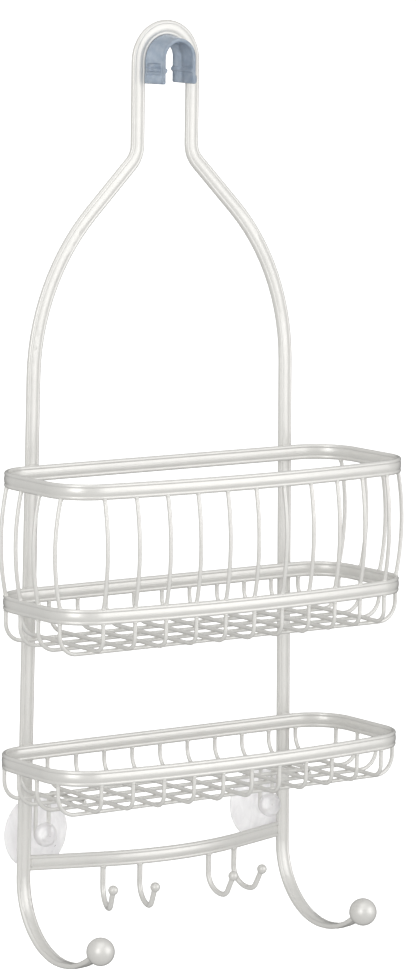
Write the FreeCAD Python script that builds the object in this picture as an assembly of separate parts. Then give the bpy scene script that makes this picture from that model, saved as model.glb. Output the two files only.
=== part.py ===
"""Hanging shower caddy: a bent hanger frame, two wire baskets, hooks and two suction cups.

Millimetres.  +X is to the right seen from the room, -Y points into the room, +Z is up.
The origin is the middle of the shower arm seat: the arm's axis runs along Y through it,
and the mid-plane of the hanger frame is Y = 0.
"""
import FreeCAD
import Part
import math
import os

Vector = FreeCAD.Vector
X, Y, Z = Vector(1, 0, 0), Vector(0, 1, 0), Vector(0, 0, 1)

# Driving dimensions ---------------------------------------------------------------------

ARM_DIAMETER = 21.3            # outside of a half-inch shower arm
SEAT_CLEARANCE = 0.05          # radial, between the arm and the grip

# Three-lobed strip: an edge bead, a crowned middle and an edge bead on each face
STRIP_WIDTH = 10.3
STRIP_THICKNESS = 3.2          # rims and crossbar
FRAME_THICKNESS = 4.0          # the hanger frame's heavier strip
GROOVE_OFFSET = 2.65           # from the strip's middle to each groove
GROOVE_DEPTH = 0.5             # on each face

WIRE_DIAMETER = 2.7
WELD = 0.05                    # how far welded wires and strips sink into each other
BUTT_DEPTH = 1.1               # how far a wire runs into a rim before it is coped to it

# Hanger frame
LOOP_RADIUS = 21.6             # to the strip's middle
LOOP_DROP = 2.0                # loop centre below the arm's axis
NECK_BEND_RADIUS = 17.0
NECK_CORNER_DROP = 63.5        # sharp corner of the neck below the arm's axis
SHOULDER_ANGLE = 45.0
ARCH_RADIUS = 150.0
RAIL_OFFSET = 105.6            # rail middle to the caddy's middle, at the crossbar
RAIL_SPLAY = 0.75              # degrees that each rail leans outward on its way down
HOOK_START_DROP = 532.8
HOOK_RADIUS = 48.6
HOOK_TIP_RADIUS = 59.0
HOOK_TIP_ANGLE = 38.0
HOOK_BALL_RADIUS = 9.2
HOOK_BALL_REACH = 6.5          # from the strip's end to the ball's centre
HOOK_END_IN_BALL = 2.5         # how far the strip's end stops short of the ball's centre

# Basket plan, measured on the middle of the rim strip
BASKET_HALF_LENGTH = 137.1
BASKET_DEPTH = 103.0
CORNER_RADIUS = 28.0
FRONT_BOW_RADIUS = 760.0
UPPER_RIM_DROP = 266.2         # rim middles below the arm's axis
MIDDLE_RIM_DROP = 346.0
LOWER_RIM_DROP = 449.7

# Tray wires and the bowed wires of the upper basket's wall
CROSS_WIRES = 11
CROSS_WIRE_PITCH = 22.5
LONG_WIRES = 4
LONG_WIRE_PITCH = 20.6
FIRST_LONG_WIRE = 16.5         # behind-to-front distance from the back of the rim
TRAY_DEPTH = 21.7              # rim's lower edge to the underside of the tray
CROSS_BACK_BEND = 14.0
CROSS_FRONT_BEND = 8.0
LONG_BEND = 13.0
WALL_BULGE = 4.2

# Crossbar and its four small hooks
CROSSBAR_DROP = 524.1
CROSSBAR_RADIUS = 175.0        # of its bowed middle, to the strip's middle
CROSSBAR_HALF_TURN = 18.2      # the straight ends run on at this angle to the rails
SMALL_HOOK_OFFSETS = (-53.4, -28.0, 28.0, 53.4)
SMALL_HOOK_WIRE = 3.6
SMALL_HOOK_STEM = 11.7
SMALL_HOOK_RADIUS = 13.2       # from the stem to the bottom
SMALL_HOOK_TIP_RADIUS = 5.5    # from the bottom to the tip
SMALL_HOOK_TIP_TURN = 65.0
SMALL_HOOK_TIP = 10.0
SMALL_BALL_RADIUS = 3.3
SMALL_BALL_REACH = 2.0

# Suction cups and the wire loops that hold their necks
CUP_OFFSET = 91.4
CUP_DROP = 505.6
CUP_RADIUS = 25.0
CUP_EDGE_THICKNESS = 0.8
CUP_SEAL_WIDTH = 1.6           # flat ring that meets the wall
CUP_HOLLOW = 3.4               # depth of the hollow against the wall
NECK_RADIUS = 3.65
NECK_HALF_LENGTH = 1.65
NECK_CLEARANCE = 0.1           # radial, in its loop
SHOULDER_RADIUS = 6.8          # collar between the neck and the disc
SHOULDER_BACK = 2.5
KNOB_RADIUS = 7.8
KNOB_ROUND = 2.0
KNOB_FRONT = -7.8              # front and wall planes, measured along Y
WALL_PLANE = 8.0
DIMPLE_RADIUS = 4.6            # hollow in the knob's face
DIMPLE_DEPTH = 1.2
CUP_LOOP_BEND = 6.0
CUP_LOOP_REACH = 42.0          # how far the loop's feet run forward under the tray

# Arm grip
GRIP_FRONT = -16.0
GRIP_BACK = 7.5
GRIP_DROP = 16.5               # bottom of its legs below the arm's axis
GRIP_NOSE_RADIUS = 13.1
GRIP_TAIL_RADIUS = 15.0
GRIP_BEAD_DEPTH = 0.6          # how deep the loop's inner bead sits in the grip
GRIP_LIP = 5.8                 # height of the thick lip at the bottom of each leg
GRIP_LIP_PROUD = 0.7
NUB_RADIUS = 1.6               # ridges below the arm's middle that keep it in
NUB_INSET = 0.2
NUB_DROP = 7.6
RIB_SLOTS = 4                  # shallow slots in each flank, with ribs between them
RIB_SLOT_PITCH = 1.75
RIB_SLOT_HEIGHT = 1.0
RIB_SLOT_DEPTH = 0.8
RIB_SLOT_LENGTH = 9.0
RIB_SLOT_FRONT = -13.0
FIRST_RIB_SLOT = 3.6

# Worked-out values ----------------------------------------------------------------------

SPLAY = math.radians(RAIL_SPLAY)
BASKET_BACK = -((FRAME_THICKNESS + STRIP_THICKNESS) / 2 - WELD)
WIRE_RADIUS = WIRE_DIAMETER / 2
GRIP_SEAT_RADIUS = LOOP_RADIUS - STRIP_WIDTH / 2 + GRIP_BEAD_DEPTH
SEAT_RADIUS = ARM_DIAMETER / 2 + SEAT_CLEARANCE
CORNER_X = BASKET_HALF_LENGTH - CORNER_RADIUS
FRONT_HALF_TURN = math.asin(CORNER_X / (FRONT_BOW_RADIUS - CORNER_RADIUS))
FRONT_CORNER_Y = (
    BASKET_BACK - BASKET_DEPTH
    + FRONT_BOW_RADIUS * (1 - math.cos(FRONT_HALF_TURN))
    + CORNER_RADIUS * math.cos(FRONT_HALF_TURN)
)
CROSSBAR_TURN = math.radians(CROSSBAR_HALF_TURN)
CROSSBAR_HALF_LENGTH = RAIL_OFFSET - STRIP_WIDTH / 2 + BUTT_DEPTH
CROSSBAR_END = (
    (CROSSBAR_HALF_LENGTH - CROSSBAR_RADIUS * math.sin(CROSSBAR_TURN)) / math.cos(CROSSBAR_TURN)
)
CROSSBAR_BOW = CROSSBAR_RADIUS * (1 - math.cos(CROSSBAR_TURN)) + CROSSBAR_END * math.sin(CROSSBAR_TURN)


# Shared shapes --------------------------------------------------------------------------

def strip_section(centre, wide, thick, thickness=STRIP_THICKNESS):
    """Face of the three-lobed strip, its width along `wide` and its thickness along `thick`."""
    half_width, half_thickness = STRIP_WIDTH / 2, thickness / 2
    groove, half_groove = GROOVE_OFFSET, half_thickness - GROOVE_DEPTH

    def at(across, out):
        return centre + wide * across + thick * out

    arcs = [
        Part.Arc(at(-groove, half_groove), at(0, half_thickness), at(groove, half_groove)),
        Part.Arc(at(groove, half_groove), at(half_width, 0), at(groove, -half_groove)),
        Part.Arc(at(groove, -half_groove), at(0, -half_thickness), at(-groove, -half_groove)),
        Part.Arc(at(-groove, -half_groove), at(-half_width, 0), at(-groove, half_groove)),
    ]
    return Part.Face(Part.Wire([arc.toShape() for arc in arcs]))


def wire_section(centre, heading, radius=WIRE_RADIUS):
    """Round face of a wire that sets off along `heading`."""
    return Part.Face(Part.Wire(Part.makeCircle(radius, centre, heading)))


def one_solid(shape):
    """The single solid that a boolean result holds."""
    if len(shape.Solids) != 1:
        raise ValueError(f"expected one solid, got {len(shape.Solids)}")
    return shape.Solids[0]


def run(length):
    """A straight stretch of a bent bar."""
    return ("run", length)


def bend(radius, degrees, axis):
    """A bend of a bent bar, right-handed about `axis`."""
    return ("bend", radius, degrees, axis)


def bent_bar(section, start, heading, moves):
    """Carry a section along straight runs and bends, and return one solid."""
    face, here, ahead = section, start, heading
    lengths = []
    for move in moves:
        if move[0] == "run":
            step = ahead * move[1]
            lengths.append(face.extrude(step))
            face = face.translated(step)
            here = here + step
        else:
            radius, degrees, axis = move[1:]
            centre = here + axis.cross(ahead) * radius
            lengths.append(face.revolve(centre, axis, degrees))
            face = face.copy()
            face.rotate(centre, axis, degrees)
            turn = FreeCAD.Rotation(axis, degrees)
            here = centre + turn.multVec(here - centre)
            ahead = turn.multVec(ahead)
    return one_solid(lengths[0].multiFuse(lengths[1:]).removeSplitter())


def round_bar(start, heading, moves, radius=WIRE_RADIUS):
    """A bent round wire."""
    return bent_bar(wire_section(start, heading, radius), start, heading, moves)


def mirrored(shape):
    """The same shape on the caddy's other side."""
    return shape.mirror(Vector(), X)


# Hanger frame ---------------------------------------------------------------------------

def rail_x(drop):
    """Distance of a rail's middle from the caddy's middle, at a drop below the arm's axis."""
    return RAIL_OFFSET - (CROSSBAR_DROP - drop) * math.tan(SPLAY)


def arch_corner():
    """Offset and drop of the sharp corner between the shoulder's line and the rail's line."""
    slope = math.tan(math.radians(SHOULDER_ANGLE))
    drop = (rail_x(0) - LOOP_RADIUS + NECK_CORNER_DROP * slope) / (slope - math.tan(SPLAY))
    return rail_x(drop), drop


def hanger_frame():
    """One strip: loop over the arm, neck, shoulders, rails and two big hooks."""
    arch_turn = SHOULDER_ANGLE - RAIL_SPLAY
    neck_tangent = NECK_BEND_RADIUS * math.tan(math.radians(SHOULDER_ANGLE / 2))
    arch_tangent = ARCH_RADIUS * math.tan(math.radians(arch_turn / 2))
    corner_x, corner_drop = arch_corner()
    shoulder = (corner_x - LOOP_RADIUS) / math.sin(math.radians(SHOULDER_ANGLE))
    rail = (HOOK_START_DROP - corner_drop) / math.cos(SPLAY)
    hook_axis = Vector(-math.cos(SPLAY), 0, -math.sin(SPLAY))
    top = Vector(0, 0, LOOP_RADIUS - LOOP_DROP)
    right_half = bent_bar(strip_section(top, Z, Y, FRAME_THICKNESS), top, X, [
        bend(LOOP_RADIUS, 90, Y),
        run(NECK_CORNER_DROP - LOOP_DROP - neck_tangent),
        bend(NECK_BEND_RADIUS, SHOULDER_ANGLE, -Y),
        run(shoulder - neck_tangent - arch_tangent),
        bend(ARCH_RADIUS, arch_turn, Y),
        run(rail - arch_tangent),
        bend(HOOK_RADIUS, 90, hook_axis),
        bend(HOOK_TIP_RADIUS, HOOK_TIP_ANGLE, hook_axis),
        run(HOOK_BALL_REACH - HOOK_END_IN_BALL),
    ])
    return one_solid(right_half.fuse(mirrored(right_half)).removeSplitter())


def hook_ball(side, frame):
    """Ball on the end of a big hook, with a pocket that takes the strip's end."""
    tip_angle = math.radians(HOOK_TIP_ANGLE)
    forward = (
        HOOK_RADIUS
        + HOOK_TIP_RADIUS * math.sin(tip_angle)
        + HOOK_BALL_REACH * math.cos(tip_angle))
    rise = (
        HOOK_TIP_RADIUS * (1 - math.cos(tip_angle))
        + HOOK_BALL_REACH * math.sin(tip_angle))
    start = Vector(side * rail_x(HOOK_START_DROP), 0, -HOOK_START_DROP)
    downward = Vector(side * math.sin(SPLAY), 0, -math.cos(SPLAY))
    centre = start + downward * (HOOK_RADIUS - rise) - Y * forward
    return one_solid(Part.makeSphere(HOOK_BALL_RADIUS, centre).cut(frame))


# Baskets --------------------------------------------------------------------------------

def basket_rim(drop):
    """Closed rim: straight back and ends, round corners and a bowed front."""
    start = Vector(-CORNER_X, BASKET_BACK, -drop)
    end_run = BASKET_BACK - CORNER_RADIUS - FRONT_CORNER_Y
    front_half = math.degrees(FRONT_HALF_TURN)
    return bent_bar(strip_section(start, Z, Y), start, X, [
        run(2 * CORNER_X),
        bend(CORNER_RADIUS, 90, -Z),
        run(end_run),
        bend(CORNER_RADIUS, 90 - front_half, -Z),
        bend(FRONT_BOW_RADIUS, 2 * front_half, -Z),
        bend(CORNER_RADIUS, 90 - front_half, -Z),
        run(end_run),
        bend(CORNER_RADIUS, 90, -Z),
    ])


def front_y(x):
    """Y of the rim's front, on the strip's middle, at a distance x from the caddy's middle."""
    if abs(x) < FRONT_BOW_RADIUS * math.sin(FRONT_HALF_TURN):
        sagitta = FRONT_BOW_RADIUS - math.sqrt(FRONT_BOW_RADIUS ** 2 - x ** 2)
        return BASKET_BACK - BASKET_DEPTH + sagitta
    return FRONT_CORNER_Y - math.sqrt(CORNER_RADIUS ** 2 - (abs(x) - CORNER_X) ** 2)


def back_y(x):
    """Y of the rim's back, on the strip's middle."""
    past_corner = max(0.0, abs(x) - CORNER_X)
    return BASKET_BACK - CORNER_RADIUS + math.sqrt(CORNER_RADIUS ** 2 - past_corner ** 2)


def end_x(y):
    """Distance of the rim's end from the caddy's middle, on the strip's middle, at y."""
    into_corner = max(0.0, y - (BASKET_BACK - CORNER_RADIUS), FRONT_CORNER_Y - y)
    return CORNER_X + math.sqrt(CORNER_RADIUS ** 2 - into_corner ** 2)


def cross_wire_x(index):
    return (index - (CROSS_WIRES - 1) / 2) * CROSS_WIRE_PITCH


def long_wire_y(index):
    return BASKET_BACK - FIRST_LONG_WIRE - index * LONG_WIRE_PITCH


def wire_top(rim_drop):
    """Height at which a tray wire starts, just inside the rim's lower bead."""
    return -rim_drop - STRIP_WIDTH / 2 + BUTT_DEPTH


def cross_wire(index, rim_drop, rim):
    """U-shaped tray wire from the back of the rim to its front."""
    x = cross_wire_x(index)
    back, front = back_y(x), front_y(x)
    top = wire_top(rim_drop)
    floor = -rim_drop - STRIP_WIDTH / 2 - TRAY_DEPTH + 1.5 * WIRE_DIAMETER - WELD
    start = Vector(x, back, top)
    wire = round_bar(start, -Z, [
        run(top - floor - CROSS_BACK_BEND),
        bend(CROSS_BACK_BEND, 90, -X),
        run(back - front - CROSS_BACK_BEND - CROSS_FRONT_BEND),
        bend(CROSS_FRONT_BEND, 90, -X),
        run(top - floor - CROSS_FRONT_BEND),
    ])
    return one_solid(wire.cut(rim))


def long_wire(index, rim_drop, rim):
    """U-shaped tray wire from end to end, under the cross wires."""
    y = long_wire_y(index)
    half = end_x(y)
    top = wire_top(rim_drop)
    floor = -rim_drop - STRIP_WIDTH / 2 - TRAY_DEPTH + WIRE_RADIUS
    start = Vector(-half, y, top)
    wire = round_bar(start, -Z, [
        run(top - floor - LONG_BEND),
        bend(LONG_BEND, 90, -Y),
        run(2 * (half - LONG_BEND)),
        bend(LONG_BEND, 90, -Y),
        run(top - floor - LONG_BEND),
    ])
    return one_solid(wire.cut(rim))


def wall_wire(x, y, outward, upper_rim, middle_rim):
    """Bowed upright wire of the upper basket's wall, bulging `outward`."""
    half_height = (MIDDLE_RIM_DROP - UPPER_RIM_DROP - STRIP_WIDTH) / 2 + BUTT_DEPTH
    radius = (half_height ** 2 + WALL_BULGE ** 2) / (2 * WALL_BULGE)
    half_turn = math.degrees(math.asin(half_height / radius))
    middle = Vector(x, y, -(UPPER_RIM_DROP + MIDDLE_RIM_DROP) / 2)
    crown = middle + outward * WALL_BULGE
    centre = crown - outward * radius
    axis = Z.cross(outward)
    up_turn = FreeCAD.Rotation(axis, -half_turn)
    start = centre + up_turn.multVec(crown - centre)
    heading = up_turn.multVec(-Z)
    wire = round_bar(start, heading, [bend(radius, 2 * half_turn, axis)])
    return one_solid(wire.cut(Part.makeCompound([upper_rim, middle_rim])))


def front_wall_wire(index, upper_rim, middle_rim):
    x = cross_wire_x(index)
    return wall_wire(x, front_y(x), -Y, upper_rim, middle_rim)


def end_wall_wires(side, upper_rim, middle_rim):
    """The four bowed wires of one end."""
    wires = []
    for index in range(LONG_WIRES):
        y = long_wire_y(index)
        wires.append(wall_wire(side * end_x(y), y, X * side, upper_rim, middle_rim))
    return Part.makeCompound(wires)


# Crossbar and small hooks ---------------------------------------------------------------

def crossbar(frame):
    """Bar between the rails, bowed towards the room, with its ends coped to the rails."""
    turn = FreeCAD.Rotation(Z, -CROSSBAR_HALF_TURN)
    start = Vector(-CROSSBAR_HALF_LENGTH, 0, -CROSSBAR_DROP)
    section = strip_section(start, Z, turn.multVec(Y))
    bar = bent_bar(section, start, turn.multVec(X), [
        run(CROSSBAR_END),
        bend(CROSSBAR_RADIUS, 2 * CROSSBAR_HALF_TURN, Z),
        run(CROSSBAR_END),
    ])
    return one_solid(bar.cut(frame))


def small_hook_frame(offset):
    """Start point and outward direction of the small hook at `offset`."""
    angle = math.asin(offset / CROSSBAR_RADIUS)
    outward = Vector(math.sin(angle), -math.cos(angle), 0)
    centre = Vector(0, CROSSBAR_RADIUS - CROSSBAR_BOW, -CROSSBAR_DROP - STRIP_WIDTH / 2)
    return centre + outward * CROSSBAR_RADIUS + Z * BUTT_DEPTH, outward


def small_hook(offset, bar):
    """Wire J-hook under the crossbar."""
    start, outward = small_hook_frame(offset)
    axis = outward.cross(Z)
    hook = round_bar(start, -Z, [
        run(SMALL_HOOK_STEM + BUTT_DEPTH),
        bend(SMALL_HOOK_RADIUS, 90, axis),
        bend(SMALL_HOOK_TIP_RADIUS, SMALL_HOOK_TIP_TURN, axis),
        run(SMALL_HOOK_TIP),
    ], SMALL_HOOK_WIRE / 2)
    return one_solid(hook.cut(bar))


def small_hook_balls(hooks):
    """The balls on the four small hooks."""
    turn = math.radians(SMALL_HOOK_TIP_TURN)
    reach = SMALL_HOOK_TIP + SMALL_BALL_REACH
    forward = SMALL_HOOK_RADIUS + SMALL_HOOK_TIP_RADIUS * math.sin(turn) + reach * math.cos(turn)
    rise = SMALL_HOOK_TIP_RADIUS * (1 - math.cos(turn)) + reach * math.sin(turn)
    down = BUTT_DEPTH + SMALL_HOOK_STEM + SMALL_HOOK_RADIUS - rise
    balls = []
    for offset, hook in zip(SMALL_HOOK_OFFSETS, hooks):
        start, outward = small_hook_frame(offset)
        centre = start + outward * forward - Z * down
        balls.append(one_solid(Part.makeSphere(SMALL_BALL_RADIUS, centre).cut(hook)))
    return Part.makeCompound(balls)


# Suction cups ---------------------------------------------------------------------------

def cup_loop(side):
    """Wire loop that hangs from the lower tray and holds a cup's neck."""
    leg = NECK_RADIUS + NECK_CLEARANCE + WIRE_RADIUS
    underside = -LOWER_RIM_DROP - STRIP_WIDTH / 2 - TRAY_DEPTH
    foot = underside - WIRE_RADIUS + WELD
    start = Vector(side * CUP_OFFSET - leg, -CUP_LOOP_REACH, foot)
    drop = CUP_DROP + foot - CUP_LOOP_BEND
    return round_bar(start, Y, [
        run(CUP_LOOP_REACH - CUP_LOOP_BEND),
        bend(CUP_LOOP_BEND, 90, -X),
        run(drop),
        bend(leg, 180, -Y),
        run(drop),
        bend(CUP_LOOP_BEND, 90, X),
        run(CUP_LOOP_REACH - CUP_LOOP_BEND),
    ])


def dome_arc(start, end):
    """Arc between two (radius, y) points, with its centre on the cup's axis."""
    (start_radius, start_y), (end_radius, end_y) = start, end
    centre_y = (end_radius ** 2 + end_y ** 2 - start_radius ** 2 - start_y ** 2) / (
        2 * (end_y - start_y))
    radius = math.hypot(start_radius, start_y - centre_y)
    angles = [math.atan2(r, y - centre_y) for r, y in (start, end)]
    middle = sum(angles) / 2
    through = Vector(radius * math.sin(middle), centre_y + radius * math.cos(middle), 0)
    return Part.Arc(Vector(*start, 0), through, Vector(*end, 0)).toShape()


def polyline(*points):
    """Straight edges through (radius, y) points."""
    vertices = [Vector(radius, y, 0) for radius, y in points]
    return [Part.LineSegment(a, b).toShape() for a, b in zip(vertices, vertices[1:])]


def suction_cup(side):
    """Soft cup: knob, neck and dished disc, turned about Y."""
    knob_back = -NECK_HALF_LENGTH
    hollow_floor = WALL_PLANE - CUP_HOLLOW
    seal_inner = (CUP_RADIUS - CUP_SEAL_WIDTH, WALL_PLANE)
    edge_front = (CUP_RADIUS, WALL_PLANE - CUP_EDGE_THICKNESS)
    dimple_edge = (DIMPLE_RADIUS, KNOB_FRONT)
    dimple_floor = (0, KNOB_FRONT + DIMPLE_DEPTH)
    knob_face = (KNOB_RADIUS - KNOB_ROUND, KNOB_FRONT)
    knob_side = (KNOB_RADIUS, KNOB_FRONT + KNOB_ROUND)
    slant = KNOB_ROUND * math.sqrt(0.5)
    knob_corner = Vector(
        KNOB_RADIUS - KNOB_ROUND + slant, KNOB_FRONT + KNOB_ROUND - slant, 0)
    shoulder = (SHOULDER_RADIUS, SHOULDER_BACK)
    outline = [
        dome_arc(dimple_floor, dimple_edge),
        *polyline(dimple_edge, knob_face),
        Part.Arc(Vector(*knob_face, 0), knob_corner, Vector(*knob_side, 0)).toShape(),
        *polyline(
            knob_side, (KNOB_RADIUS, knob_back), (NECK_RADIUS, knob_back),
            (NECK_RADIUS, NECK_HALF_LENGTH), (SHOULDER_RADIUS, NECK_HALF_LENGTH), shoulder),
        dome_arc(shoulder, edge_front),
        *polyline(edge_front, (CUP_RADIUS, WALL_PLANE), seal_inner),
        dome_arc(seal_inner, (0, hollow_floor)),
        *polyline((0, hollow_floor), dimple_floor),
    ]
    profile = Part.Face(Part.Wire(outline))
    cup = one_solid(profile.revolve(Vector(), Y, 360))
    return cup.translated(Vector(side * CUP_OFFSET, 0, -CUP_DROP))


# Arm grip -------------------------------------------------------------------------------

def arch_outline(radius, drop, y, height):
    """Closed inverted-U outline at Y = y: a half circle over two straight legs."""
    left, right = Vector(-radius, y, -drop), Vector(radius, y, -drop)
    low_left, low_right = Vector(-radius, y, -height), Vector(radius, y, -height)
    edges = [
        Part.Arc(left, Vector(0, y, radius - drop), right).toShape(),
        Part.LineSegment(right, low_right).toShape(),
        Part.LineSegment(low_right, low_left).toShape(),
        Part.LineSegment(low_left, left).toShape(),
    ]
    return Part.Wire(edges)


def grip_block():
    """Outer body of the grip: thick at the frame, tapering to a nose and a tail."""
    half = FRAME_THICKNESS / 2
    stations = [
        arch_outline(GRIP_NOSE_RADIUS, 0, GRIP_FRONT, GRIP_DROP),
        arch_outline(GRIP_SEAT_RADIUS, LOOP_DROP, -half, GRIP_DROP),
        arch_outline(GRIP_SEAT_RADIUS, LOOP_DROP, half, GRIP_DROP),
        arch_outline(GRIP_TAIL_RADIUS, LOOP_DROP / 2, GRIP_BACK, GRIP_DROP),
    ]
    return Part.makeLoft(stations, True, True)


def grip_lip(side):
    """Thick lip along the bottom of one leg, following the leg's taper."""
    outline = [
        (GRIP_NOSE_RADIUS, GRIP_FRONT),
        (GRIP_SEAT_RADIUS, -FRAME_THICKNESS / 2),
        (GRIP_SEAT_RADIUS, FRAME_THICKNESS / 2),
        (GRIP_TAIL_RADIUS, GRIP_BACK),
    ]
    outer = [Vector(side * (x + GRIP_LIP_PROUD), y, -GRIP_DROP) for x, y in outline]
    inner = [Vector(side * SEAT_RADIUS, y, -GRIP_DROP) for y in (GRIP_BACK, GRIP_FRONT)]
    corners = outer + inner
    face = Part.Face(Part.makePolygon(corners + corners[:1]))
    return face.extrude(Z * GRIP_LIP)


def rib_slots(side):
    """Row of shallow slots in one flank, between the nose and the frame."""
    half = FRAME_THICKNESS / 2
    taper = (GRIP_SEAT_RADIUS - GRIP_NOSE_RADIUS) / (-half - GRIP_FRONT)
    front_x = GRIP_NOSE_RADIUS + taper * (RIB_SLOT_FRONT - GRIP_FRONT)
    back_x = front_x + taper * RIB_SLOT_LENGTH
    back = RIB_SLOT_FRONT + RIB_SLOT_LENGTH
    slots = []
    for index in range(RIB_SLOTS):
        z = -FIRST_RIB_SLOT - index * RIB_SLOT_PITCH - RIB_SLOT_HEIGHT / 2
        corners = [
            Vector(side * (front_x - RIB_SLOT_DEPTH), RIB_SLOT_FRONT, z),
            Vector(side * (front_x + RIB_SLOT_DEPTH), RIB_SLOT_FRONT, z),
            Vector(side * (back_x + RIB_SLOT_DEPTH), back, z),
            Vector(side * (back_x - RIB_SLOT_DEPTH), back, z),
        ]
        face = Part.Face(Part.makePolygon(corners + corners[:1]))
        slots.append(face.extrude(Z * RIB_SLOT_HEIGHT))
    return Part.makeCompound(slots)


def arm_grip(frame):
    """Soft saddle in the loop that snaps over the shower arm."""
    depth = GRIP_BACK - GRIP_FRONT
    front = Vector(0, GRIP_FRONT, 0)
    bore = Part.makeCylinder(SEAT_RADIUS, depth, front, Y)
    slot = Part.makeBox(2 * SEAT_RADIUS, depth, GRIP_DROP, front - Vector(SEAT_RADIUS, 0, GRIP_DROP))
    grip = grip_block().fuse([grip_lip(-1), grip_lip(1)]).cut(bore.fuse(slot))
    for side in (-1, 1):
        nub_centre = front + X * side * (SEAT_RADIUS - NUB_INSET) - Z * NUB_DROP
        grip = grip.fuse(Part.makeCylinder(NUB_RADIUS, depth, nub_centre, Y))
        grip = grip.cut(rib_slots(side))
    return one_solid(grip.cut(frame).removeSplitter())


# Assembly -------------------------------------------------------------------------------

def basket_tray(name, rim_drop, rim):
    """Nodes of the tray under one rim."""
    nodes = {}
    for index in range(CROSS_WIRES):
        nodes[f"{name}_cross_wire_{index + 1:02d}"] = cross_wire(index, rim_drop, rim)
    for index in range(LONG_WIRES):
        nodes[f"{name}_long_wire_{index + 1}"] = long_wire(index, rim_drop, rim)
    return nodes


def caddy():
    """Every node of the caddy, by name."""
    frame = hanger_frame()
    upper_rim, middle_rim, lower_rim = (
        basket_rim(drop) for drop in (UPPER_RIM_DROP, MIDDLE_RIM_DROP, LOWER_RIM_DROP))
    bar = crossbar(frame)
    hooks = [small_hook(offset, bar) for offset in SMALL_HOOK_OFFSETS]
    nodes = {
        "hanger_frame": frame,
        "hook_ball_left": hook_ball(-1, frame),
        "hook_ball_right": hook_ball(1, frame),
        "arm_grip": arm_grip(frame),
        "upper_basket_top_rim": upper_rim,
        "upper_basket_middle_rim": middle_rim,
        "lower_basket_rim": lower_rim,
        "crossbar": bar,
        "small_hook_balls": small_hook_balls(hooks),
        "left_end_wall_wires": end_wall_wires(-1, upper_rim, middle_rim),
        "right_end_wall_wires": end_wall_wires(1, upper_rim, middle_rim),
        "cup_loop_left": cup_loop(-1),
        "cup_loop_right": cup_loop(1),
        "suction_cup_left": suction_cup(-1),
        "suction_cup_right": suction_cup(1),
    }
    for index, hook in enumerate(hooks):
        nodes[f"small_hook_{index + 1}"] = hook
    for index in range(CROSS_WIRES):
        nodes[f"front_wall_wire_{index + 1:02d}"] = front_wall_wire(index, upper_rim, middle_rim)
    nodes.update(basket_tray("upper", MIDDLE_RIM_DROP, middle_rim))
    nodes.update(basket_tray("lower", LOWER_RIM_DROP, lower_rim))
    return nodes


def main():
    os.makedirs("parts", exist_ok=True)
    for name, shape in caddy().items():
        if not shape.isValid():
            raise ValueError(f"{name} is not valid")
        shape.exportStep(f"parts/{name}.step")
        print(f"{name}: {len(shape.Solids)} solid(s), {shape.Volume:.1f} mm3")


main()
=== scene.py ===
"""Looks of the hanging shower caddy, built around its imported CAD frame. Metres, +Z up, -Y into the room."""

import math

import bpy
from mathutils import Matrix, Vector


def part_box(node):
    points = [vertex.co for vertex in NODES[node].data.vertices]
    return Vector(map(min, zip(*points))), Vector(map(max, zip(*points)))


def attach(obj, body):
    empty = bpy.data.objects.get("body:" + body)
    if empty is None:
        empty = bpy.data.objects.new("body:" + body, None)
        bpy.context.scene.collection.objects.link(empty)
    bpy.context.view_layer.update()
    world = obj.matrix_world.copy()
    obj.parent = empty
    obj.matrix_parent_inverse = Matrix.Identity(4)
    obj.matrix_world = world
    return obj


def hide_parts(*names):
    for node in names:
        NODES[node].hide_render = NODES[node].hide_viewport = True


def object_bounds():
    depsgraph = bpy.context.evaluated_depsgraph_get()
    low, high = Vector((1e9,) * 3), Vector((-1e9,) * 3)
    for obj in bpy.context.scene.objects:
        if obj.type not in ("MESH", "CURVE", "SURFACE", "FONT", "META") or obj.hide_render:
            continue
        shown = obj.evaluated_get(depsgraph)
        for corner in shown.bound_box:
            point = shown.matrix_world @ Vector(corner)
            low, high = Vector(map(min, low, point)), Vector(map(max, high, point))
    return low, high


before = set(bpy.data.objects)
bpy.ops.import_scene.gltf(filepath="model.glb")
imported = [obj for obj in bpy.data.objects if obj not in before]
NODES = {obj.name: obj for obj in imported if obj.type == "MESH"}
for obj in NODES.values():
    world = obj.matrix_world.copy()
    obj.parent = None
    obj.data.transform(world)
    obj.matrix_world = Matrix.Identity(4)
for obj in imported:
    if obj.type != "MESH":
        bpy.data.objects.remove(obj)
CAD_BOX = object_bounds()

MM = 0.001


# ---------------------------------------------------------------- node helpers

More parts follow.
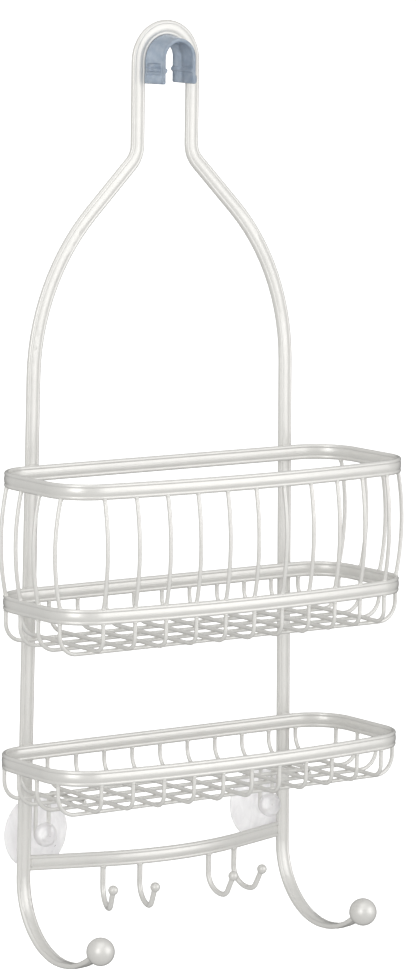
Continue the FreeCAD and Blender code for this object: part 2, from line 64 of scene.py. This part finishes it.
class Shader:
    """A material's node tree, with short calls to add and join nodes."""

    def __init__(self, name):
        self.material = bpy.data.materials.new(name)
        self.material.use_nodes = True
        self.tree = self.material.node_tree
        self.surface = self.tree.nodes["Principled BSDF"]
        self.place = self.add("ShaderNodeTexCoord").outputs["Object"]

    def add(self, kind, **settings):
        node = self.tree.nodes.new(kind)
        for key, value in settings.items():
            setattr(node, key, value)
        return node

    def join(self, source, target):
        self.tree.links.new(source, target)

    def set(self, **values):
        """Constants on the surface's own sockets, named with _ for a space."""
        for key, value in values.items():
            self.surface.inputs[key.replace("_", " ")].default_value = value

    def drive(self, **sources):
        """Sockets joined to the surface, named as in set."""
        for key, source in sources.items():
            self.join(source, self.surface.inputs[key.replace("_", " ")])

    def noise(self, size, detail=2.0, roughness=0.5, stretch=(1.0, 1.0, 1.0), distortion=0.0):
        """Noise whose features are about size metres across."""
        place = self.add("ShaderNodeMapping")
        place.inputs["Scale"].default_value = stretch
        self.join(self.place, place.inputs["Vector"])
        node = self.add("ShaderNodeTexNoise")
        node.inputs["Scale"].default_value = 1.0 / size
        node.inputs["Detail"].default_value = detail
        node.inputs["Roughness"].default_value = roughness
        node.inputs["Distortion"].default_value = distortion
        self.join(place.outputs["Vector"], node.inputs["Vector"])
        return node.outputs["Fac"]

    def cells(self, size):
        """Random grey per cell, cells about size metres across."""
        node = self.add("ShaderNodeTexVoronoi")
        node.inputs["Scale"].default_value = 1.0 / size
        self.join(self.place, node.inputs["Vector"])
        grey = self.add("ShaderNodeRGBToBW")
        self.join(node.outputs["Color"], grey.inputs["Color"])
        return grey.outputs["Val"]

    def ramp(self, value, *stops):
        """Colour from a value through (position, colour) stops."""
        node = self.add("ShaderNodeValToRGB")
        fill_ramp(node.color_ramp, stops)
        self.join(value, node.inputs["Fac"])
        return node.outputs["Color"]

    def span(self, value, low, high, from_low=0.0, from_high=1.0):
        """The value carried from one range to another."""
        node = self.add("ShaderNodeMapRange")
        node.inputs["From Min"].default_value = from_low
        node.inputs["From Max"].default_value = from_high
        node.inputs["To Min"].default_value = low
        node.inputs["To Max"].default_value = high
        self.join(value, node.inputs["Value"])
        return node.outputs["Result"]

    def mix(self, share, first, second, blend="MIX"):
        """Two colour sockets mixed; share is a number or a socket."""
        node = self.add("ShaderNodeMix", data_type="RGBA", blend_type=blend)
        if isinstance(share, bpy.types.NodeSocket):
            self.join(share, node.inputs["Factor"])
        else:
            node.inputs["Factor"].default_value = share
        colours = [socket for socket in node.inputs if socket.type == "RGBA"]
        self.join(first, colours[0])
        self.join(second, colours[1])
        return next(socket for socket in node.outputs if socket.type == "RGBA")

    def bump(self, *layers):
        """Height layers (socket, height in metres), one on another."""
        normal = None
        for height, distance in layers:
            node = self.add("ShaderNodeBump")
            node.inputs["Distance"].default_value = distance
            self.join(height, node.inputs["Height"])
            if normal is not None:
                self.join(normal, node.inputs["Normal"])
            normal = node.outputs["Normal"]
        self.drive(Normal=normal)


def fill_ramp(ramp, stops):
    """Set a colour ramp to (position, colour) stops."""
    while len(ramp.elements) < len(stops):
        ramp.elements.new(0.5)
    for element, (position, colour) in zip(ramp.elements, stops):
        element.position = position
        element.color = (*colour, 1.0)


# ---------------------------------------------------------------- materials

PEARL = (0.80, 0.79, 0.765)
PEARL_LIGHTER = (0.83, 0.82, 0.795)
MOTTLE_DARKEST = 0.965    # share of the base colour in the darkest mottle
FLAKE_SIZE = 0.22 * MM
FLAKE_SHARE = 0.8
FLAKE_HEIGHT = 0.004 * MM

KNOB_BACK, DISC_FRONT = -1.0 * MM, 2.5 * MM    # between them the cup's neck, where knob turns to disc


def pearl(name, base, roughness, peel_height):
    """Satin pearl lacquer on steel: fine flakes, a soft mottle, orange peel and a thin clear coat."""
    s = Shader(name)
    flakes = s.cells(FLAKE_SIZE)
    mottle = s.noise(11 * MM, detail=3.0)
    shade = s.ramp(mottle, (0.30, tuple(c * MOTTLE_DARKEST for c in base)), (0.70, base))
    tinted = s.ramp(flakes, (0.0, (0.90, 0.90, 0.905)), (1.0, (1.0, 1.0, 0.995)))
    s.drive(Base_Color=s.mix(FLAKE_SHARE, shade, s.mix(1.0, shade, tinted, "MULTIPLY")),
            Roughness=s.span(s.noise(4 * MM, detail=4.0), roughness - 0.04, roughness + 0.05))
    s.set(Metallic=0.5, Coat_Weight=0.5, Coat_Roughness=0.14, IOR=1.5, Specular_IOR_Level=0.5)
    s.bump((s.noise(2.1 * MM, detail=2.0), peel_height), (flakes, FLAKE_HEIGHT))
    return s.material


def clear_vinyl():
    """Soft clear vinyl: a milky disc with cloudy streaks, clearer in the thick knob, with a smeared sheen."""
    s = Shader("clear_vinyl")
    apart = s.add("ShaderNodeSeparateXYZ")
    s.join(s.place, apart.inputs["Vector"])
    cloud = s.noise(7.5 * MM, detail=5.0, roughness=0.6, stretch=(1.0, 1.0, 0.45), distortion=0.9)
    disc = s.ramp(cloud, (0.34, (0.775, 0.767, 0.777)), (0.66, (0.915, 0.907, 0.91)))
    knob = s.ramp(cloud, (0.34, (0.88, 0.87, 0.88)), (0.66, (0.98, 0.975, 0.978)))
    behind = s.span(apart.outputs["Y"], 0.0, 1.0, from_low=KNOB_BACK, from_high=DISC_FRONT)
    s.drive(Base_Color=s.mix(behind, knob, disc), Roughness=s.span(cloud, 0.22, 0.42))
    s.set(Transmission_Weight=0.62, IOR=1.14, Specular_IOR_Level=0.5, Coat_Weight=0.5, Coat_Roughness=0.2,
          Sheen_Weight=0.2, Sheen_Roughness=0.3)
    s.bump((s.noise(4.5 * MM, detail=4.0, stretch=(1.0, 1.0, 0.5)), 0.12 * MM))
    return s.material


def clear_grip():
    """Blue-grey clear soft plastic, slightly milky."""
    s = Shader("clear_grip")
    cloud = s.noise(4 * MM, detail=4.0)
    s.drive(Base_Color=s.ramp(cloud, (0.3, (0.40, 0.475, 0.57)), (0.7, (0.53, 0.60, 0.69))),
            Roughness=s.span(cloud, 0.14, 0.26))
    s.set(Transmission_Weight=0.48, IOR=1.42, Specular_IOR_Level=0.5)
    s.bump((s.noise(1.6 * MM, detail=3.0), 0.04 * MM))
    return s.material


LOOKS = {
    "pearl_strip": pearl("pearl_strip", PEARL, 0.37, 0.016 * MM),
    "pearl_wire": pearl("pearl_wire", PEARL_LIGHTER, 0.40, 0.012 * MM),
    "pearl_ball": pearl("pearl_ball", PEARL, 0.42, 0.010 * MM),
    "clear_vinyl": clear_vinyl(),
    "clear_grip": clear_grip(),
}

for node in NODES.values():
    for place in node.material_slots:
        place.material = LOOKS[place.material.name.split(".")[0]]


# ---------------------------------------------------------------- mesh helpers

def new_piece(name, points, faces, look, body, sharp=None):
    """A smooth-shaded mesh that rides on a body and takes one look; edges over sharp degrees stay sharp."""
    mesh = bpy.data.meshes.new(name)
    mesh.from_pydata([tuple(p) for p in points], [], faces)
    mesh.validate()
    mesh.update()
    mesh.materials.append(LOOKS[look])
    mesh.polygons.foreach_set("use_smooth", [True] * len(mesh.polygons))
    obj = bpy.data.objects.new(name, mesh)
    bpy.context.scene.collection.objects.link(obj)
    if sharp:
        mesh.set_sharp_from_angle(angle=math.radians(sharp))
    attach(obj, body)
    return obj


def lathe(profile, turns, place, axis, wave=None):
    """Points and faces of a (radius, along) profile turned about an axis through place.

    The profile starts and ends on the axis. wave(radius, angle) lifts a point along the axis.
    """
    axis = Vector(axis).normalized()
    side = axis.orthogonal().normalized()
    other = axis.cross(side)
    points, faces, rings = [], [], []
    for radius, along in profile:
        if radius <= 0:
            rings.append([len(points)] * turns)
            points.append(place + axis * along)
            continue
        rings.append(list(range(len(points), len(points) + turns)))
        for step in range(turns):
            angle = 2 * math.pi * step / turns
            lift = wave(radius, angle) if wave else 0.0
            out = side * math.cos(angle) + other * math.sin(angle)
            points.append(place + out * radius + axis * (along + lift))
    for first, second in zip(rings, rings[1:]):
        for step in range(turns):
            after = (step + 1) % turns
            face = [first[step], first[after], second[after], second[step]]
            kept = [v for at, v in enumerate(face) if v not in face[:at]]
            if len(kept) > 2:
                faces.append(kept)
    return points, faces


def merged(parts):
    """One list of points and faces from several."""
    points, faces = [], []
    for some_points, some_faces in parts:
        faces += [[v + len(points) for v in face] for face in some_faces]
        points += some_points
    return points, faces


def catmull_rom(before, start, end, after, t):
    """Number at share t between start and end."""
    return 0.5 * (2 * start + (end - before) * t
                  + (2 * before - 5 * start + 4 * end - after) * t * t
                  + (3 * start - before - 3 * end + after) * t ** 3)


def smooth_line(corners, step):
    """Smooth line through 2-D corners, with a point about every step."""
    line = []
    padded = [corners[0], *corners, corners[-1]]
    for before, start, end, after in zip(padded, padded[1:], padded[2:], padded[3:]):
        pieces = max(1, round(math.dist(start, end) / step))
        for piece in range(pieces):
            line.append(tuple(catmull_rom(*four, piece / pieces) for four in zip(before, start, end, after)))
    line.append(corners[-1])
    return line


# ---------------------------------------------------------------- suction cups

CUP_TURNS = 112
CUP_STEP = 0.42 * MM
CUP_STIFF_RADIUS = 8.0 * MM    # the warp of the soft disc starts here
CUP_WARP = 0.22 * MM
CUP_WARP_PHASE = {"left": 0.8, "right": 2.1}

# (radius, distance behind the front of the knob) in mm.
CUP_KNOB_FACE = ((0.0, 1.45), (0.7, 1.4), (0.95, 1.05), (1.9, 1.1), (3.6, 0.85), (4.7, 0.18), (5.3, 0.0))
CUP_KNOB_SIDE = ((6.0, 0.08), (7.15, 0.7), (7.72, 2.0), (7.8, 3.2), (7.68, 5.0), (7.25, 5.85), (6.3, 6.1))
CUP_NECK = ((4.25, 6.15), (3.75, 6.55), (3.62, 7.8), (3.75, 9.05), (4.3, 9.5))
CUP_STEPPED_FRONT = ((6.1, 9.6), (6.8, 10.2), (7.6, 10.75), (10.5, 11.25), (10.9, 11.5), (15.0, 12.45),
                     (15.4, 12.7))
# (radius, distance in front of the cup's back) in mm.
CUP_OUTER_FRONT = ((20.0, 2.15), (23.4, 1.15))
CUP_HOLLOW = ((19.0, 1.75), (14.0, 2.65), (8.0, 3.2), (3.0, 3.38), (0.0, 3.4))
# (distance inside the rim's radius, distance in front of the cup's back) in mm.
CUP_EDGE = ((0.35, 0.85), (0.0, 0.45), (0.1, 0.08), (0.6, 0.0), (1.5, 0.04), (2.2, 0.5))


def cup_profile(front, back, rim):
    """(radius, y) line of a soft cup in metres, from the middle of its knob to the middle of its hollow."""
    corners = [(radius * MM, front + behind * MM)
               for radius, behind in CUP_KNOB_FACE + CUP_KNOB_SIDE + CUP_NECK + CUP_STEPPED_FRONT]
    corners += [(radius * MM, back - before * MM) for radius, before in CUP_OUTER_FRONT]
    corners += [(rim - inside * MM, back - before * MM) for inside, before in CUP_EDGE]
    corners += [(radius * MM, back - before * MM) for radius, before in CUP_HOLLOW]
    return [(max(0.0, radius), min(along, back)) for radius, along in smooth_line(corners, CUP_STEP)]


def suction_cup(side):
    node = f"suction_cup_{side}"
    low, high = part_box(node)
    middle = Vector(((low.x + high.x) / 2, 0.0, (low.z + high.z) / 2))
    rim = (high.x - low.x) / 2

    def wave(radius, angle):
        """The soft disc isn't quite true: a slow warp grows towards its edge, always away from the wall."""
        share = max(0.0, (radius - CUP_STIFF_RADIUS) / (rim - CUP_STIFF_RADIUS)) ** 2
        return -share * CUP_WARP * (1.0 + math.cos(3 * angle + CUP_WARP_PHASE[side]))

    points, faces = lathe(cup_profile(low.y, high.y, rim), CUP_TURNS, middle, (0, 1, 0), wave)
    cup = new_piece(f"{side}_cup_vinyl", points, faces, "clear_vinyl", f"{side}_cup")
    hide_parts(node)


# ---------------------------------------------------------------- arm grip

STRIP_WIDTH = 10.3 * MM             # the hanger frame's strip
LOOP_DROP = 2.0 * MM                # the loop's centre lies this far below the bore's centre
GRIP_BORE = 10.7 * MM               # inside radius
GRIP_FRONT_RADIUS = 13.1 * MM
GRIP_BACK_RADIUS = 15.0 * MM
GRIP_SEAT_HALF = 2.0 * MM           # half the depth of the seat that holds the loop
GRIP_SEAT_RISE = 0.6 * MM           # the seat's shoulders past the loop's inside
GRIP_BEAD = 1.76 * MM               # radius of the loop's inner bead, which lies in a groove
GRIP_SINK = 0.05 * MM
GRIP_STEP = 0.35 * MM
GRIP_FILLET = 0.7 * MM              # rounding of the front and back edges
GRIP_FILLET_STEPS = 5
GRIP_FOOT_FILLET = 0.8 * MM         # rounding at the foot of each leg
GRIP_LEG_STEPS = 48
GRIP_ARC_STEPS = 96
GRIP_LIP_HEIGHT = 5.8 * MM
GRIP_LIP_BULGE = 0.95 * MM
GRIP_NUB_HEIGHT = 1.35 * MM         # the ridge inside each leg that holds the shower arm
GRIP_NUB_HALF = 1.6 * MM
GRIP_NUB_Z = -7.6 * MM
RELIEF_STARTS, RELIEF_FULL = 1.5 * MM, 2.4 * MM    # distances from the seat's middle
WINDOW_FRONT_INSET = 2.4 * MM
WINDOW_BACK = -3.0 * MM
WINDOW_TOP = -2.9 * MM
WINDOW_SILL_GAP = 0.25 * MM         # above the lip
WINDOW_DEPTH = 1.15 * MM
WINDOW_SOFT = 0.25 * MM             # half the width of a softened edge
WINDOW_SILL_SOFT = 0.2 * MM
WINDOW_RIBS = 3
WINDOW_RIB_SHARE = 0.85             # of the window's depth
POST_FRONT, POST_BACK = 1.65 * MM, 0.85 * MM       # distances in front of the window's back


def blend_step(value, low, high):
    t = min(1.0, max(0.0, (value - low) / (high - low)))
    return t * t * (3 - 2 * t)


def past(value, edge, soft=WINDOW_SOFT):
    """0 before an edge and 1 past it, with a soft change."""
    return blend_step(value, edge - soft, edge + soft)


def grip_outer(y, stations, loop_inside):
    """Radius and centre drop of the grip's outside at y, with the groove that the loop's bead sits in."""
    for (y0, r0, d0), (y1, r1, d1) in zip(stations, stations[1:]):
        if y <= y1 + 1e-9:
            t = (y - y0) / (y1 - y0)
            radius, drop = r0 + (r1 - r0) * t, d0 + (d1 - d0) * t
            break
    if abs(y) < GRIP_BEAD:
        groove = loop_inside + GRIP_BEAD - math.sqrt(GRIP_BEAD ** 2 - y ** 2) - GRIP_SINK
        radius = min(radius, groove)
    return radius, drop


def flank_relief(y, z, top, front):
    """How far the outside of a leg stands proud (+) or is sunk (-): thick lip, framed window, ribs."""
    off = abs(z + top - GRIP_LIP_HEIGHT / 2) / (GRIP_LIP_HEIGHT / 2)
    relief = GRIP_LIP_BULGE * math.sqrt(1.0 - off ** 2) if off < 1 else 0.0
    if y < WINDOW_BACK:
        window_front = front + WINDOW_FRONT_INSET
        sill = -top + GRIP_LIP_HEIGHT + WINDOW_SILL_GAP
        inside = (past(y, window_front) * (1.0 - past(y, WINDOW_BACK))
                  * past(z, sill, WINDOW_SILL_SOFT) * (1.0 - past(z, WINDOW_TOP)))
        height = (z - sill) / (WINDOW_TOP - sill)
        rib = WINDOW_RIB_SHARE * max(0.0, math.cos(height * WINDOW_RIBS * 2 * math.pi)) ** 1.5
        post = past(y, WINDOW_BACK - POST_FRONT) * (1.0 - past(y, WINDOW_BACK - POST_BACK))
        relief -= inside * WINDOW_DEPTH * (1.0 - max(rib, post))
    return relief


def grip_section(y, stations, loop_inside, top, shrink):
    """XZ lines of the grip at y, both from the left leg over to the right one: outside, then inside."""
    radius, drop = grip_outer(y, stations, loop_inside)
    front = stations[0][0]
    down = top - shrink

    def rounding(z):
        low = z + down
        if low >= GRIP_FOOT_FILLET:
            return 0.0
        return GRIP_FOOT_FILLET - math.sqrt(max(0.0, GRIP_FOOT_FILLET ** 2 - (GRIP_FOOT_FILLET - low) ** 2))

    def outside(z):
        off_seat = blend_step(abs(y), RELIEF_STARTS, RELIEF_FULL)
        return radius - shrink + flank_relief(y, z, top, front) * off_seat - rounding(z)

    def inside(z):
        nub = math.sqrt(max(0.0, 1.0 - ((z - GRIP_NUB_Z) / GRIP_NUB_HALF) ** 2))
        return GRIP_BORE + shrink - GRIP_NUB_HEIGHT * nub + rounding(z)

    def over(width, arc_radius, arc_drop):
        """Up the left leg, round the arc and down the right leg."""
        legs = [-down + index / GRIP_LEG_STEPS * (down - arc_drop) for index in range(GRIP_LEG_STEPS)]
        arc = [math.pi * index / GRIP_ARC_STEPS for index in range(GRIP_ARC_STEPS + 1)]
        return ([(-width(z), z) for z in legs]
                + [(-arc_radius * math.cos(a), arc_radius * math.sin(a) - arc_drop) for a in arc]
                + [(width(z), z) for z in reversed(legs)])

    return over(outside, radius - shrink, drop), over(inside, GRIP_BORE + shrink, 0.0)


def grip_levels(low, high):
    """(y, shrink) of every section from front to back; shrink rounds the front and back edges."""
    turns = [math.pi / 2 * index / GRIP_FILLET_STEPS for index in range(GRIP_FILLET_STEPS)]
    rounded = [(GRIP_FILLET * (1 - math.cos(a)), GRIP_FILLET * (1 - math.sin(a))) for a in turns]
    straight = high - low - 2 * GRIP_FILLET
    count = round(straight / GRIP_STEP)
    levels = [(low + along, shrink) for along, shrink in rounded]
    levels += [(low + GRIP_FILLET + index / count * straight, 0.0) for index in range(count + 1)]
    return levels + [(high - along, shrink) for along, shrink in reversed(rounded)]


def arm_grip():
    low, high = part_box("arm_grip")
    loop_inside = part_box("hanger_frame")[1].z + LOOP_DROP - STRIP_WIDTH
    seat_radius = loop_inside + GRIP_SEAT_RISE
    stations = [(low.y, GRIP_FRONT_RADIUS, 0.0), (-GRIP_SEAT_HALF, seat_radius, LOOP_DROP),
                (GRIP_SEAT_HALF, seat_radius, LOOP_DROP), (high.y, GRIP_BACK_RADIUS, LOOP_DROP / 2)]
    points, faces, rings = [], [], []
    for y, shrink in grip_levels(low.y, high.y):
        outer, inner = grip_section(y, stations, loop_inside, -low.z, shrink)
        loop = outer + inner[::-1]
        rings.append(list(range(len(points), len(points) + len(loop))))
        points += [(x, y, z) for x, z in loop]
    size = len(rings[0])
    for first, second in zip(rings, rings[1:]):
        for index in range(size):
            after = (index + 1) % size
            faces.append([first[index], first[after], second[after], second[index]])
    for ring, flip in ((rings[0], True), (rings[-1], False)):
        for index in range(size // 2 - 1):
            face = [ring[index], ring[index + 1], ring[size - 2 - index], ring[size - 1 - index]]
            faces.append(face[::-1] if flip else face)
    grip = new_piece("arm_grip_soft", points, faces, "clear_grip", "caddy", sharp=50)
    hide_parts("arm_grip")


# ---------------------------------------------------------------- welds

# (mm along, share of the wire's radius)
SPOOL = ((-0.8, 0.9185), (-0.45, 0.7556), (0.0, 0.6667), (0.45, 0.7556), (0.8, 0.9185))
SPOOL_END = 0.85
COLLAR = ((-1.2, 0.99), (-0.8, 1.02), (-0.4, 1.08), (-0.1, 1.17), (0.15, 1.22), (0.4, 1.18), (0.6, 1.0),
          (0.8, 0.5))
BEAD_RIPPLES = 5
BEAD_RIPPLE_SHARE = 0.07            # of the bead's radius
BEAD_STEPS = 30
WELD_TURNS = 12
COLLAR_TURNS = 16

WALL_WIRE_LEAN = 0.24               # slope of the bowed wires where they meet the rims
WALL_WIRE_INSET = 0.2 * MM

RAIL_X, RAIL_X_HEIGHT = 105.6 * MM, -524.1 * MM    # a rail's middle, and the height where it is there
RAIL_SPLAY = math.radians(0.75)

RIM_BEAD_HALF = 3.4 * MM
RIM_BEAD_RADIUS = 0.75 * MM
RIM_BEAD_Y = -2.15 * MM
RIM_BEAD_INSET = 0.35 * MM
BAR_BEAD_RADIUS = 0.6 * MM
BAR_BEAD_YS = (-2.05 * MM, 1.35 * MM)
BAR_BEAD_INSET = 2.2 * MM           # from the crossbar's top and bottom
RAIL_HALF = 5.15 * MM               # half the rail's strip width
HOOK_WIRE_RADIUS = 1.8 * MM
HOOK_STEM_LENGTH = 3.0 * MM


def weld_spool(place, radius):
    """Fillet round the spot where two crossing wires touch."""
    profile = [(0.0, -SPOOL_END * MM)] + [(radius * share, along * MM) for along, share in SPOOL]
    return lathe(profile + [(0.0, SPOOL_END * MM)], WELD_TURNS, Vector(place), (0, 0, 1))


def weld_collar(place, into, radius):
    """Flared puddle where a wire's end runs into a strip; into points from the wire into the strip."""
    profile = [(radius * share, along * MM) for along, share in COLLAR]
    profile = [(0.0, profile[0][1])] + profile + [(0.0, profile[-1][1])]
    return lathe(profile, COLLAR_TURNS, Vector(place), into)


def weld_bead(start, end, radius):
    """Short rippled bead between two points."""
    start, end = Vector(start), Vector(end)
    length = (end - start).length
    profile = [(0.0, 0.0)]
    for step in range(1, BEAD_STEPS):
        t = step / BEAD_STEPS
        swell = math.sqrt(1 - (2 * t - 1) ** 4)
        ripple = 1 + BEAD_RIPPLE_SHARE * math.cos(2 * math.pi * BEAD_RIPPLES * t)
        profile.append((radius * swell * ripple, t * length))
    profile.append((0.0, length))
    return lathe(profile, WELD_TURNS, start, end - start)


def box_and_middle(node):
    low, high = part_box(node)
    return low, high, (low + high) / 2


def tray_welds(tray, rim):
    """Welds of one tray: every crossing, and every wire end at the rim."""
    rim_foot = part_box(rim)[0].z
    cross_wires = [box_and_middle(f"{tray}_cross_wire_{index:02d}") for index in range(1, 12)]
    long_wires = [box_and_middle(f"{tray}_long_wire_{index}") for index in range(1, 5)]
    radius = (cross_wires[0][1].x - cross_wires[0][0].x) / 2
    parts = []
    for low, high, middle in cross_wires:
        for y in (low.y + radius, high.y - radius):
            parts.append(weld_collar((middle.x, y, rim_foot), (0, 0, 1), radius))
        for long_low, _, long_middle in long_wires:
            parts.append(weld_spool((middle.x, long_middle.y, long_low.z + 2 * radius), radius))
    for low, high, middle in long_wires:
        for x in (low.x + radius, high.x - radius):
            parts.append(weld_collar((x, middle.y, rim_foot), (0, 0, 1), radius))
    new_piece(f"{tray}_tray_welds", *merged(parts), "pearl_wire", "caddy")


def wall_welds():
    """Welds at both ends of the bowed wires of the upper basket."""
    ends = ((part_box("upper_basket_top_rim")[0].z, 1), (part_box("upper_basket_middle_rim")[1].z, -1))
    parts = []
    for index in range(1, 12):
        low, high, middle = box_and_middle(f"front_wall_wire_{index:02d}")
        radius = (high.x - low.x) / 2
        y = high.y - radius - WALL_WIRE_INSET
        for z, into in ends:
            parts.append(weld_collar((middle.x, y, z), (0, WALL_WIRE_LEAN, into), radius))
    for index in range(1, 5):
        low, high, middle = box_and_middle(f"upper_long_wire_{index}")
        for x, side in ((low.x + radius, -1), (high.x - radius, 1)):
            for z, into in ends:
                parts.append(weld_collar((x, middle.y, z), (-side * WALL_WIRE_LEAN, 0, into), radius))
    new_piece("wall_welds", *merged(parts), "pearl_wire", "caddy")


def rail_x(z):
    """Distance of a rail's middle from the caddy's middle at a height."""
    return RAIL_X + (RAIL_X_HEIGHT - z) * math.tan(RAIL_SPLAY)


def small_hook_stem(index):
    """Where a small hook's stem meets the crossbar: the middle of the hook's top vertices."""
    places = [vertex.co for vertex in NODES[f"small_hook_{index}"].data.vertices]
    top = max(place.z for place in places)
    near = [place for place in places if place.z > top - HOOK_STEM_LENGTH]
    return sum(place.x for place in near) / len(near), sum(place.y for place in near) / len(near)


def frame_welds():
    """Beads where the rims lie against the rails, and where the crossbar and small hooks join."""
    parts = []
    for rim in ("upper_basket_top_rim", "upper_basket_middle_rim", "lower_basket_rim"):
        low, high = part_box(rim)
        for z in (high.z - RIM_BEAD_INSET, low.z + RIM_BEAD_INSET):
            for x in (-rail_x(z), rail_x(z)):
                parts.append(weld_bead((x - RIM_BEAD_HALF, RIM_BEAD_Y, z), (x + RIM_BEAD_HALF, RIM_BEAD_Y, z),
                                       RIM_BEAD_RADIUS))
    low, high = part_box("crossbar")
    bar_end = rail_x((low.z + high.z) / 2) - RAIL_HALF
    for x in (-bar_end, bar_end):
        for y in BAR_BEAD_YS:
            parts.append(weld_bead((x, y, low.z + BAR_BEAD_INSET), (x, y, high.z - BAR_BEAD_INSET),
                                   BAR_BEAD_RADIUS))
    for index in range(1, 5):
        parts.append(weld_collar((*small_hook_stem(index), low.z), (0, 0, 1), HOOK_WIRE_RADIUS))
    new_piece("frame_welds", *merged(parts), "pearl_strip", "caddy")


for cup_side in ("left", "right"):
    suction_cup(cup_side)
arm_grip()
for tray_name, rim_name in (("upper", "upper_basket_middle_rim"), ("lower", "lower_basket_rim")):
    tray_welds(tray_name, rim_name)
wall_welds()
frame_welds()


# ---------------------------------------------------------------- floor, light and camera

FLOOR_DROP = 0.30
FLOOR_HALF = 40.0

ROOM_TOWARDS = (-0.56, -0.78, 0.28)    # where the room is brightest
ROOM_GREYS = ((0.0, 0.04), (0.08, 0.16), (0.20, 0.61), (0.50, 0.70), (0.80, 0.74))
ROOM_WARMTH = 0.985                    # blue's share of the grey

MIDDLE = (0.0, -0.04, -0.28)

CAMERA_PLACE = Vector((-1.83169, -2.57449, 0.15524))
CAMERA_RIGHT = Vector((0.810031, -0.586220, 0.014026))
CAMERA_DOWN = Vector((-0.068920, -0.118931, -0.990508))
CAMERA_FORWARD = Vector((0.582323, 0.801375, -0.136740))
CAMERA_LENS = 179.35


def floor_material():
    """Pale paper that lights itself a little."""
    s = Shader("floor_paper")
    s.drive(Base_Color=s.ramp(s.noise(0.5, detail=2.0), (0.3, (0.93, 0.93, 0.93)), (0.7, (0.96, 0.96, 0.96))))
    s.set(Roughness=0.9, Emission_Color=(1.0, 1.0, 1.0, 1.0), Emission_Strength=0.75)
    return s.material


def floor():
    bottom = CAD_BOX[0][2] - FLOOR_DROP
    corners = [(x * FLOOR_HALF, y * FLOOR_HALF, bottom) for x, y in ((-1, -1), (1, -1), (1, 1), (-1, 1))]
    mesh = bpy.data.meshes.new("floor")
    mesh.from_pydata(corners, [], [(0, 1, 2, 3)])
    mesh.materials.append(floor_material())
    obj = bpy.data.objects.new("floor", mesh)
    bpy.context.scene.collection.objects.link(obj)
    obj.visible_diffuse = False
    obj.visible_glossy = False


def studio_world():
    """A pale room: bright on the camera's side and overhead, dim behind and below.

    It is pure white where it is seen directly or through a clear piece.
    """
    world = bpy.data.worlds.new("studio")
    bpy.context.scene.world = world
    world.use_nodes = True
    tree = world.node_tree
    tree.nodes.clear()
    add = tree.nodes.new
    join = tree.links.new

    where, side = add("ShaderNodeTexCoord"), add("ShaderNodeVectorMath")
    side.operation = "DOT_PRODUCT"
    side.inputs[1].default_value = ROOM_TOWARDS
    join(where.outputs["Generated"], side.inputs[0])
    half = add("ShaderNodeMapRange")
    half.inputs["From Min"].default_value = -1.0
    join(side.outputs["Value"], half.inputs["Value"])
    ramp = add("ShaderNodeValToRGB")
    stops = [(position, (grey, grey, grey * ROOM_WARMTH)) for position, grey in ROOM_GREYS]
    fill_ramp(ramp.color_ramp, stops)
    join(half.outputs["Result"], ramp.inputs["Fac"])

    lit, seen = add("ShaderNodeBackground"), add("ShaderNodeBackground")
    join(ramp.outputs["Color"], lit.inputs["Color"])
    seen.inputs["Color"].default_value = (1.0, 1.0, 1.0, 1.0)
    path, direct = add("ShaderNodeLightPath"), add("ShaderNodeMath")
    direct.operation = "MAXIMUM"
    join(path.outputs["Is Camera Ray"], direct.inputs[0])
    join(path.outputs["Is Transmission Ray"], direct.inputs[1])
    blend, out = add("ShaderNodeMixShader"), add("ShaderNodeOutputWorld")
    join(direct.outputs["Value"], blend.inputs["Fac"])
    join(lit.outputs["Background"], blend.inputs[1])
    join(seen.outputs["Background"], blend.inputs[2])
    join(blend.outputs["Shader"], out.inputs["Surface"])


def soft_light(name, place, width, height, power):
    """A soft box that faces the middle of the caddy."""
    data = bpy.data.lights.new(name, "AREA")
    data.shape = "RECTANGLE"
    data.size, data.size_y, data.energy = width, height, power
    obj = bpy.data.objects.new(name, data)
    obj.location = place
    obj.rotation_euler = (Vector(MIDDLE) - Vector(place)).to_track_quat("-Z", "Y").to_euler()
    bpy.context.scene.collection.objects.link(obj)


def camera():
    data = bpy.data.cameras.new("camera")
    data.lens = CAMERA_LENS
    data.clip_end = 200.0
    obj = bpy.data.objects.new("camera", data)
    turn = Matrix((CAMERA_RIGHT, -CAMERA_DOWN, -CAMERA_FORWARD)).transposed()
    obj.matrix_world = Matrix.Translation(CAMERA_PLACE) @ turn.to_4x4()
    bpy.context.scene.collection.objects.link(obj)
    bpy.context.scene.camera = obj


floor()
studio_world()
soft_light("left_box", (-2.4, -1.65, 0.45), 1.3, 1.9, 16.8)
soft_light("right_box", (1.35, -2.45, 0.25), 2.4, 2.2, 19.5)
soft_light("top_box", (-0.6, -0.8, 1.9), 2.2, 2.2, 9.5)
camera()
bpy.context.scene.view_settings.view_transform = "Standard"
